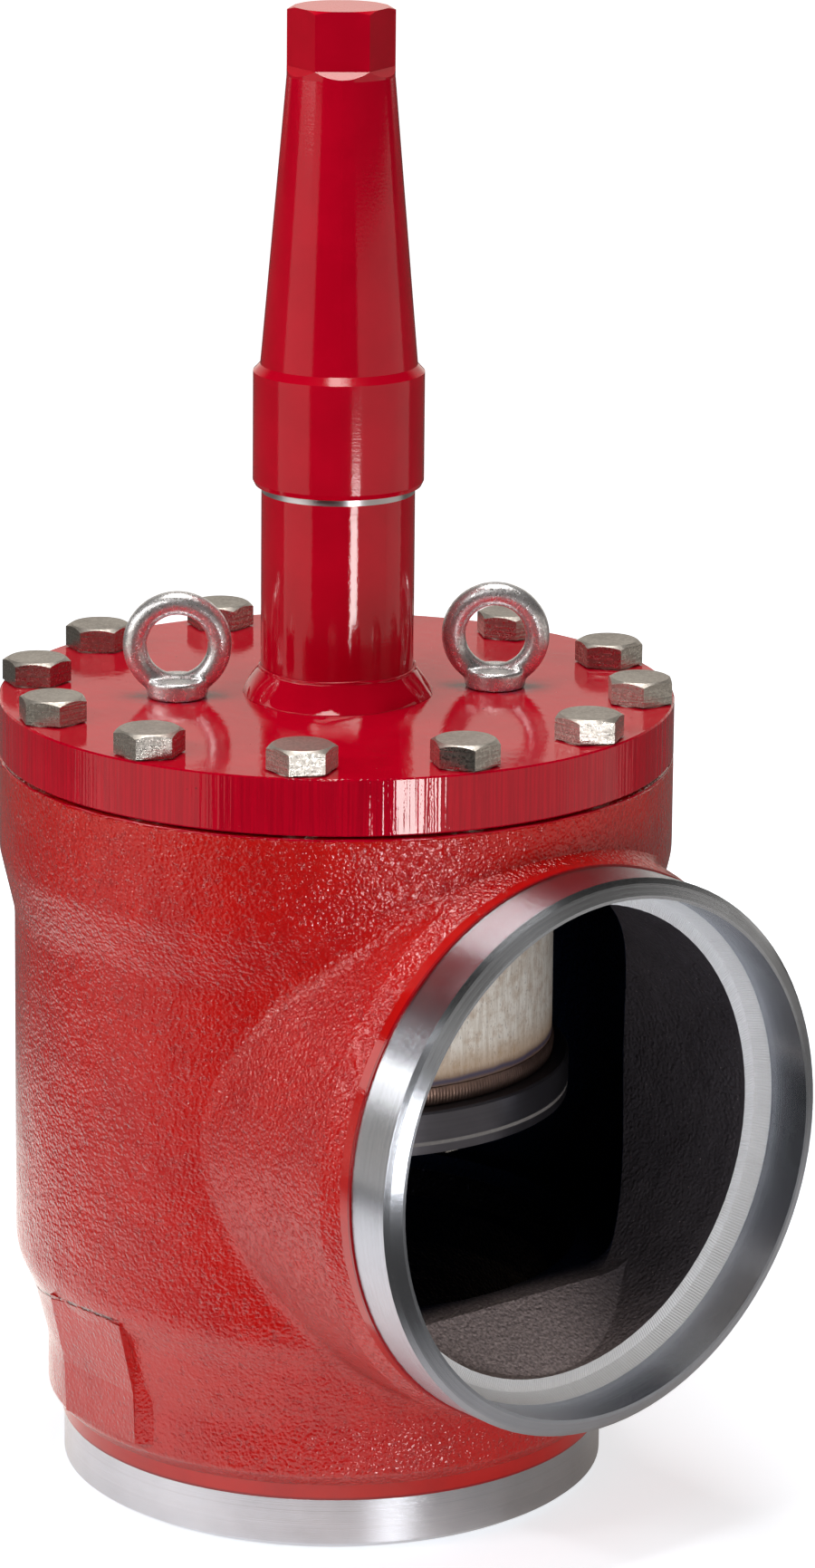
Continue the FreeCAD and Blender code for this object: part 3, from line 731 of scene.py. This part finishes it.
def ringSurface(name, across, up, finish, body):
    # a closed band: row i is one turn about the spindle, column j one step round the section,
    # with across the distance from the spindle and up the height, both as row by column arrays
    rows, columns = across.shape
    turn = turnsOf(rows)
    points = np.stack([across * np.cos(turn), across * np.sin(turn), up], axis=-1).reshape(-1, 3)
    i, j = np.meshgrid(np.arange(rows), np.arange(columns), indexing="ij")
    nextI, nextJ = (i + 1) % rows, (j + 1) % columns
    corners = [i * columns + j, nextI * columns + j, nextI * columns + nextJ, i * columns + nextJ]
    faces = np.stack(corners, axis=-1).reshape(-1, 4)
    mesh = bpy.data.meshes.new(name)
    mesh.from_pydata(points.tolist(), [], faces.tolist())
    mesh.shade_smooth()
    mesh.materials.append(finishes[finish])
    piece = bpy.data.objects.new(name, mesh)
    bpy.context.scene.collection.objects.link(piece)
    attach(piece, body)
    return piece


def waves(turn, seed, counts, strength):
    # sum of sines about the spindle with seeded sizes and starts, so it closes on itself
    dice = np.random.default_rng(seed)
    size = dice.normal(0, 1, len(counts)) / np.sqrt(len(counts))
    start = dice.uniform(0, 2 * np.pi, len(counts))
    sines = np.sin(turn * np.array(counts)[None, :] + start[None, :]) * size[None, :]
    return strength * sines.sum(axis=1, keepdims=True)


# Neck weld: a smooth cone of weld metal under thick paint, with a raised lip round the neck
neckWeld = {"neckRadius": 0.03806, "toeRadius": 0.0484, "coverTop": 0.3985, "top": 0.4126,
            "topWander": 0.0004, "toeWander": 0.001, "belly": 0.0003, "bellyStart": 0.15,
            "lip": 0.0007, "lipPlace": 0.05, "lipWidth": 0.035, "lump": 0.00022,
            "lean": 0.71, "sunk": 0.0002, "rows": 900, "columns": 48}


def neckWeldPiece():
    # across and up run straight from neck to toe, plus lip, belly and lumps square to that slope
    w = neckWeld
    turn = turnsOf(w["rows"])
    s = np.linspace(0, 1, w["columns"])[None, :]
    wandering = waves(turn, 3, [2, 3, 5, 8, 13, 19], w["toeWander"])
    toe = w["toeRadius"] + wandering
    top = w["top"] + waves(turn, 5, [2, 4, 7], w["topWander"])
    # a straight slope to the mean toe, the wandering toe drawn out only at its foot
    across = w["neckRadius"] + (w["toeRadius"] - w["neckRadius"]) * s + wandering * s ** 4
    up = top + (w["coverTop"] - top) * s
    lip = w["lip"] * (1 + waves(turn, 6, [5, 9, 14], 0.25))
    lip = lip * np.exp(-((s - w["lipPlace"]) / w["lipWidth"]) ** 2)
    belly = np.clip((s - w["bellyStart"]) / (1 - w["bellyStart"]), 0, 1)
    belly = w["belly"] * np.sin(np.pi * belly)
    lumps = waves(turn, 7, [3, 5, 8, 11], w["lump"]) * np.sin(np.pi * s) ** 2
    out = (lip + belly + lumps) * w["lean"]
    across = across + out
    up = np.maximum(up + out, w["coverTop"] - w["sunk"] / 2)
    # close the section behind: under the toe, then up the neck
    inner = w["neckRadius"] - 0.0003
    back = np.linspace(0, 1, 7)[None, 1:]
    hiddenAcross = toe + (inner - toe) * back
    hiddenUp = np.full(hiddenAcross.shape, w["coverTop"] - w["sunk"])
    across = np.concatenate([across, hiddenAcross], axis=1)
    up = np.concatenate([up, hiddenUp], axis=1)
    piece = ringSurface("neck_weld_bead", across, up, "weld", "valve")
    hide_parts("neck_weld")


# Sleeve weld: fine machine-laid bead between disc and sleeve
sleeveBead = {"sleeveRadius": 0.1095, "low": 0.21548, "high": 0.2252, "belly": 0.0009,
              "bellyPower": 0.7, "proud": 0.00004, "uneven": 0.00015, "ripple": 0.00011,
              "rippleCount": 380, "rippleBow": 2.5, "behind": 0.0006, "rows": 1900, "columns": 18}


def sleeveWeldPiece():
    # across is the sleeve's radius plus a half-sine belly, bowed ripples and slow unevenness
    w = sleeveBead
    turn = turnsOf(w["rows"])
    s = np.linspace(0, 1, w["columns"])[None, :]
    arch = np.sin(np.pi * s)
    bow = w["rippleBow"] * (s - 0.5) ** 2 + waves(turn, 21, [5, 9, 14], 0.8)
    ripple = w["ripple"] * np.sin(w["rippleCount"] * turn + bow) * arch
    uneven = waves(turn, 23, [4, 7, 12, 20, 33], w["uneven"]) * arch
    across = w["sleeveRadius"] + w["proud"] + w["belly"] * arch ** w["bellyPower"] + ripple + uneven
    up = np.broadcast_to(w["high"] + (w["low"] - w["high"]) * s, across.shape)
    # close the section inside the sleeve
    back = np.full((w["rows"], 2), w["sleeveRadius"] - w["behind"])
    backLow = np.full((w["rows"], 1), w["low"] + 0.0001)
    backHigh = np.full((w["rows"], 1), w["high"] - 0.0001)
    across = np.concatenate([across, back], axis=1)
    up = np.concatenate([up, backLow, backHigh], axis=1)
    piece = ringSurface("sleeve_weld_bead", across, up, "sleeveWeld", "plug")
    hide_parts("sleeve_weld")


# Paint that has run into a bead along the casting's top edge, just under the gap
paintEdge = {"radius": 0.1672, "height": 0.36825, "thick": 0.0005, "drawn": 1.6,
             "uneven": 0.22, "heightWander": 0.00018, "sagTurn": -118.0, "sagWidth": 1.4,
             "sagThick": 0.9, "sagDrop": 0.0012, "rows": 1440, "columns": 10}


def paintEdgePiece():
    # a ring of upright oval section, thick and height wandering with the turn, with one sag
    w = paintEdge
    turn = turnsOf(w["rows"])
    section = np.linspace(0, -2 * np.pi, w["columns"], endpoint=False)[None, :]
    thick = w["thick"] * (1 + waves(turn, 31, [5, 9, 16, 27, 44, 71], w["uneven"]))
    off = np.mod(turn - math.radians(w["sagTurn"]) + np.pi, 2 * np.pi) - np.pi
    sag = np.exp(-(off / math.radians(w["sagWidth"])) ** 2)
    thick = thick * (1 + w["sagThick"] * sag)
    across = w["radius"] + thick * np.cos(section)
    up = w["height"] - w["sagDrop"] * sag + w["drawn"] * thick * np.sin(section)
    up = up + waves(turn, 33, [3, 6, 11, 19, 37], w["heightWander"])
    ringSurface("casting_paint_edge", across, up, "weld", "valve")


# Lifting eyes: the forging's corners melted into one another
eyeForging = {"voxel": 0.0008, "melt": 14, "meltFactor": 0.5}


def eyePiece(node):
    source = parts[node].data.copy()
    work = bmesh.new()
    work.from_mesh(source)
    bmesh.ops.remove_doubles(work, verts=work.verts, dist=1e-6)
    bmesh.ops.recalc_face_normals(work, faces=work.faces)
    work.to_mesh(source)
    work.free()
    if "custom_normal" in source.attributes:
        source.attributes.remove(source.attributes["custom_normal"])
    rough = bpy.data.objects.new(node + "_rough", source)
    bpy.context.scene.collection.objects.link(rough)
    remesh = rough.modifiers.new("forging", "REMESH")
    remesh.mode = "VOXEL"
    remesh.voxel_size = eyeForging["voxel"]
    melt = rough.modifiers.new("melt", "SMOOTH")
    melt.factor = eyeForging["meltFactor"]
    melt.iterations = eyeForging["melt"]
    graph = bpy.context.evaluated_depsgraph_get()
    shape = bpy.data.meshes.new_from_object(rough.evaluated_get(graph))
    bpy.data.objects.remove(rough)
    shape.name = node + "_forging"
    shape.shade_smooth()
    shape.materials.clear()
    shape.materials.append(finishes["eyes"])
    piece = bpy.data.objects.new(node + "_forging", shape)
    bpy.context.scene.collection.objects.link(piece)
    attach(piece, "valve")
    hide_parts(node)


neckWeldPiece()
sleeveWeldPiece()
paintEdgePiece()
for eyeName in ("lifting_eye_right", "lifting_eye_left"):
    eyePiece(eyeName)
print("stage: welds, paint edge and eyes made")


# Camera: near the height of the cap, turned towards the outlet; focal and shift in picture pixels
cameraLook = {"azimuth": 50.441, "elevation": 11.24, "roll": 0.534, "distance": 2.76592,
              "focal": 6200.5, "shift": -430.0, "aside": 0.0338, "height": 0.54928,
              "frameHeight": 1731.0, "sensor": 36.0}


def cameraAxes():
    a, e = math.radians(cameraLook["azimuth"]), math.radians(cameraLook["elevation"])
    toCamera = Vector((math.sin(a) * math.cos(e), -math.cos(a) * math.cos(e), math.sin(e)))
    right = Vector((math.cos(a), math.sin(a), 0.0))
    return toCamera, right, toCamera.cross(right)


def levelAxes():
    # along the floor towards the camera, and to its right
    toCamera, right, up = cameraAxes()
    return Vector((toCamera.x, toCamera.y, 0.0)).normalized(), right


def makeCamera():
    toCamera, right, up = cameraAxes()
    roll = math.radians(cameraLook["roll"])
    data = bpy.data.cameras.new("camera")
    data.sensor_width = cameraLook["sensor"]
    data.lens = cameraLook["focal"] * cameraLook["sensor"] / cameraLook["frameHeight"]
    data.shift_y = cameraLook["shift"] / cameraLook["frameHeight"]
    camera = bpy.data.objects.new("camera", data)
    bpy.context.scene.collection.objects.link(camera)
    rightRolled = right * math.cos(roll) + up * math.sin(roll)
    upRolled = up * math.cos(roll) - right * math.sin(roll)
    target = Vector((0, 0, cameraLook["height"])) + right * cameraLook["aside"]
    place = target + toCamera * cameraLook["distance"]
    camera.matrix_world = Matrix((
        (rightRolled.x, upRolled.x, toCamera.x, place.x),
        (rightRolled.y, upRolled.y, toCamera.y, place.y),
        (rightRolled.z, upRolled.z, toCamera.z, place.z),
        (0, 0, 0, 1)))
    bpy.context.scene.camera = camera


makeCamera()

# Studio: turn is degrees round from the camera, plus to its right; bright is the panel's own brightness
studio = {
    "leftPanel": {"turn": -62.0, "distance": 0.95, "height": 0.36, "width": 0.85, "tall": 0.72,
                  "bright": 0.68, "color": warm},
    "leftHigh": {"turn": -76.0, "distance": 2.0, "height": 1.0, "width": 1.8, "tall": 0.6,
                 "bright": 1.8, "color": (1.0, 0.97, 0.93)},
    "stripLamp": {"turn": -38.0, "distance": 1.6, "height": 1.6, "width": 1.6, "tall": 0.12,
                  "bright": 14.0, "color": (1.0, 0.97, 0.93)},
    "ridgeLamp": {"turn": -64.0, "distance": 1.8, "height": 1.15, "width": 0.28, "tall": 0.16,
                  "bright": 26.0, "color": (1.0, 0.97, 0.93)},
    "rightPanel": {"turn": 68.0, "distance": 0.95, "height": 0.33, "width": 1.6, "tall": 0.6,
                   "bright": 0.5, "color": warm},
    "lowLamp": {"turn": 24.2, "distance": 1.1, "height": 0.1425, "width": 0.2, "tall": 0.285,
                "bright": 17.0, "color": (1.0, 0.98, 0.96)},
}
overhead = {"height": 2.1, "width": 0.9, "tall": 0.9, "bright": 9.6, "color": (1.0, 0.96, 0.9)}
valveMiddle = 0.36


def areaLamp(name, look, place):
    data = bpy.data.lights.new(name, "AREA")
    data.shape = "RECTANGLE"
    data.size, data.size_y = look["width"], look["tall"]
    data.energy = look["bright"] * math.pi * look["width"] * look["tall"]
    data.color = look["color"]
    lamp = bpy.data.objects.new(name, data)
    lamp.location = place
    lamp.visible_camera = False
    bpy.context.scene.collection.objects.link(lamp)
    return lamp


def panel(name, look):
    ahead, right = levelAxes()
    turn = math.radians(look["turn"])
    out = ahead * math.cos(turn) + right * math.sin(turn)
    place = out * look["distance"] + Vector((0, 0, look["height"]))
    lamp = areaLamp(name, look, place)
    # a low panel stands upright, a higher one leans towards the middle of the valve
    facing = place - Vector((0, 0, min(look["height"], valveMiddle)))
    lamp.rotation_euler = facing.to_track_quat("Z", "Y").to_euler()


for lampName, look in studio.items():
    panel(lampName, look)
areaLamp("overhead", overhead, (0, 0, overhead["height"]))


# Surroundings: how bright each part is, as light (fill) and as seen in gloss (the others)
room = {"fill": 0.15, "front": 0.0, "behindStart": 0.55, "behindEnd": 0.85, "behindHigh": 0.6,
        "highStart": 0.04, "highEnd": 0.24}


def seenRay(tree):
    # rays that show the surroundings: the camera's, and those in metal and glass
    rays = tree.nodes.new("ShaderNodeLightPath")
    mirrored = larger(tree, rays.outputs["Is Glossy Ray"], rays.outputs["Is Transmission Ray"])
    return rays.outputs["Is Camera Ray"], mirrored


def makeRoom():
    # white behind the valve as the camera sees it; in gloss it fades upwards, and the side
    # that the camera stands on is dark
    world = bpy.data.worlds.new("room")
    bpy.context.scene.world = world
    world.use_nodes = True
    tree = world.node_tree
    ahead, right = levelAxes()
    way = vectorCalc(tree, "NORMALIZE", tree.nodes.new("ShaderNodeTexCoord").outputs["Generated"])
    behind = times(tree, vectorCalc(tree, "DOT_PRODUCT", way, tuple(ahead)), -1.0)
    mask = fade(tree, behind, room["behindStart"], room["behindEnd"])
    high = fade(tree, splitPlace(tree, way)[2], room["highStart"], room["highEnd"])
    mirrored = blendValue(tree, mask, room["front"], blendValue(tree, high, 1.0, room["behindHigh"]))
    camera, glossy = seenRay(tree)
    level = blendValue(tree, glossy, room["fill"], mirrored)
    feedAll(tree, tree.nodes["Background"], {
        "Strength": blendValue(tree, camera, level, 1.0),
        "Color": blendColor(tree, camera, (*warm, 1.0), white)})


# Floor: its paint, and its glow as the camera sees it and in gloss
floorLook = {"half": 9.0, "drop": 0.0003, "pale": (0.72, 0.79, 0.9, 1.0),
             "front": (0.05, 0.05, 0.05, 1.0), "frontStart": 0.18, "frontEnd": 0.4,
             "far": 0.1, "farStart": 0.4, "farEnd": 0.8, "right": 0.3, "rightEnd": 0.14,
             "glow": 0.62, "glowColor": (1.0, 0.86, 0.7, 1.0), "whiteStart": 0.35, "whiteEnd": 1.1,
             "footprint": 0.12}


def makeFloor():
    f = floorLook
    half = f["half"]
    mesh = bpy.data.meshes.new("floor")
    mesh.from_pydata([(-half, -half, 0), (half, -half, 0), (half, half, 0), (-half, half, 0)],
                     [], [(0, 1, 2, 3)])
    floor = bpy.data.objects.new("floor", mesh)
    bpy.context.scene.collection.objects.link(floor)
    floor.location.z = -f["drop"]
    material = bpy.data.materials.new("paleFloor")
    material.use_nodes = True
    tree = material.node_tree
    tree.nodes.remove(tree.nodes["Principled BSDF"])
    place = tree.nodes.new("ShaderNodeTexCoord").outputs["Object"]
    fromFoot = vectorCalc(tree, "LENGTH", place)
    camera, glossy = seenRay(tree)
    ahead, right = levelAxes()
    # in gloss only the floor round the foot is bright: dark in front, dim to the right and far out
    front = fade(tree, vectorCalc(tree, "DOT_PRODUCT", place, tuple(ahead)),
                 f["frontStart"], f["frontEnd"])
    far = fade(tree, fromFoot, f["farStart"], f["farEnd"])
    aside = fade(tree, vectorCalc(tree, "DOT_PRODUCT", place, tuple(right)),
                 0.0, f["rightEnd"], 1.0, f["right"])
    near = times(tree, blendValue(tree, far, aside, f["far"]), opposite(tree, front))
    dim = times(tree, opposite(tree, near), glossy)
    mirrored = times(tree, times(tree, glossy, near), f["glow"])
    # the camera sees white all the way out, and the valve's shadow round the foot
    away = fade(tree, fromFoot, f["whiteStart"], f["whiteEnd"], f["glow"], 1.0)
    shown = larger(tree, times(tree, camera, away), mirrored)
    # no glow inside the valve's own foot
    shown = times(tree, shown, above(tree, fromFoot, f["footprint"]))
    matt = tree.nodes.new("ShaderNodeBsdfDiffuse")
    feed(tree, blendColor(tree, dim, f["pale"], f["front"]), matt.inputs["Color"])
    glow = tree.nodes.new("ShaderNodeEmission")
    feedAll(tree, glow, {"Strength": shown, "Color": blendColor(tree, glossy, white, f["glowColor"])})
    both = tree.nodes.new("ShaderNodeAddShader")
    tree.links.new(matt.outputs[0], both.inputs[0])
    tree.links.new(glow.outputs[0], both.inputs[1])
    tree.links.new(both.outputs[0], tree.nodes["Material Output"].inputs["Surface"])
    mesh.materials.append(material)


makeRoom()
makeFloor()
bpy.context.scene.view_settings.view_transform = "Standard"
print("stage: camera and studio ready")
